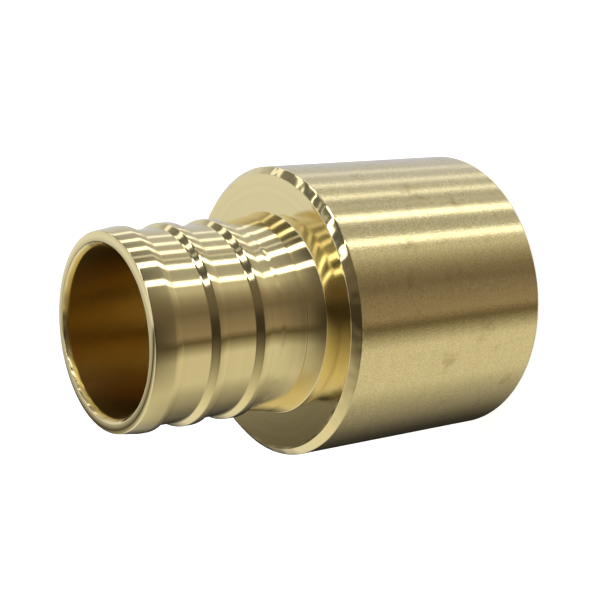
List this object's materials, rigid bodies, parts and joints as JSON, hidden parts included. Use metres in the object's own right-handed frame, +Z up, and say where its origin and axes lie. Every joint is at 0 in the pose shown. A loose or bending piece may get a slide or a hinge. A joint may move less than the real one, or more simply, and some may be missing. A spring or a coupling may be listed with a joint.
{
  "type": "pex crimp fitting",
  "caption": "One-piece brass adapter with a ribbed insert for crimped PEX tube at one end and a socket for soldered copper tube at the other.",
  "frame": {"origin": "centre of the solder socket's rim, on the common axis of both ends, where the adapter stands", "axes": "+Z up along the common axis, from the socket end towards the ribbed PEX insert; X and Y are free, because the adapter is a body of revolution"},
  "size_m": [0.0264, 0.0264, 0.0381],
  "materials": {
    "brass": "satin, as turned"
  },
  "bodies": {
    "root": {"pex_sweat_adapter": "brass"}
  },
  "joints": []
}
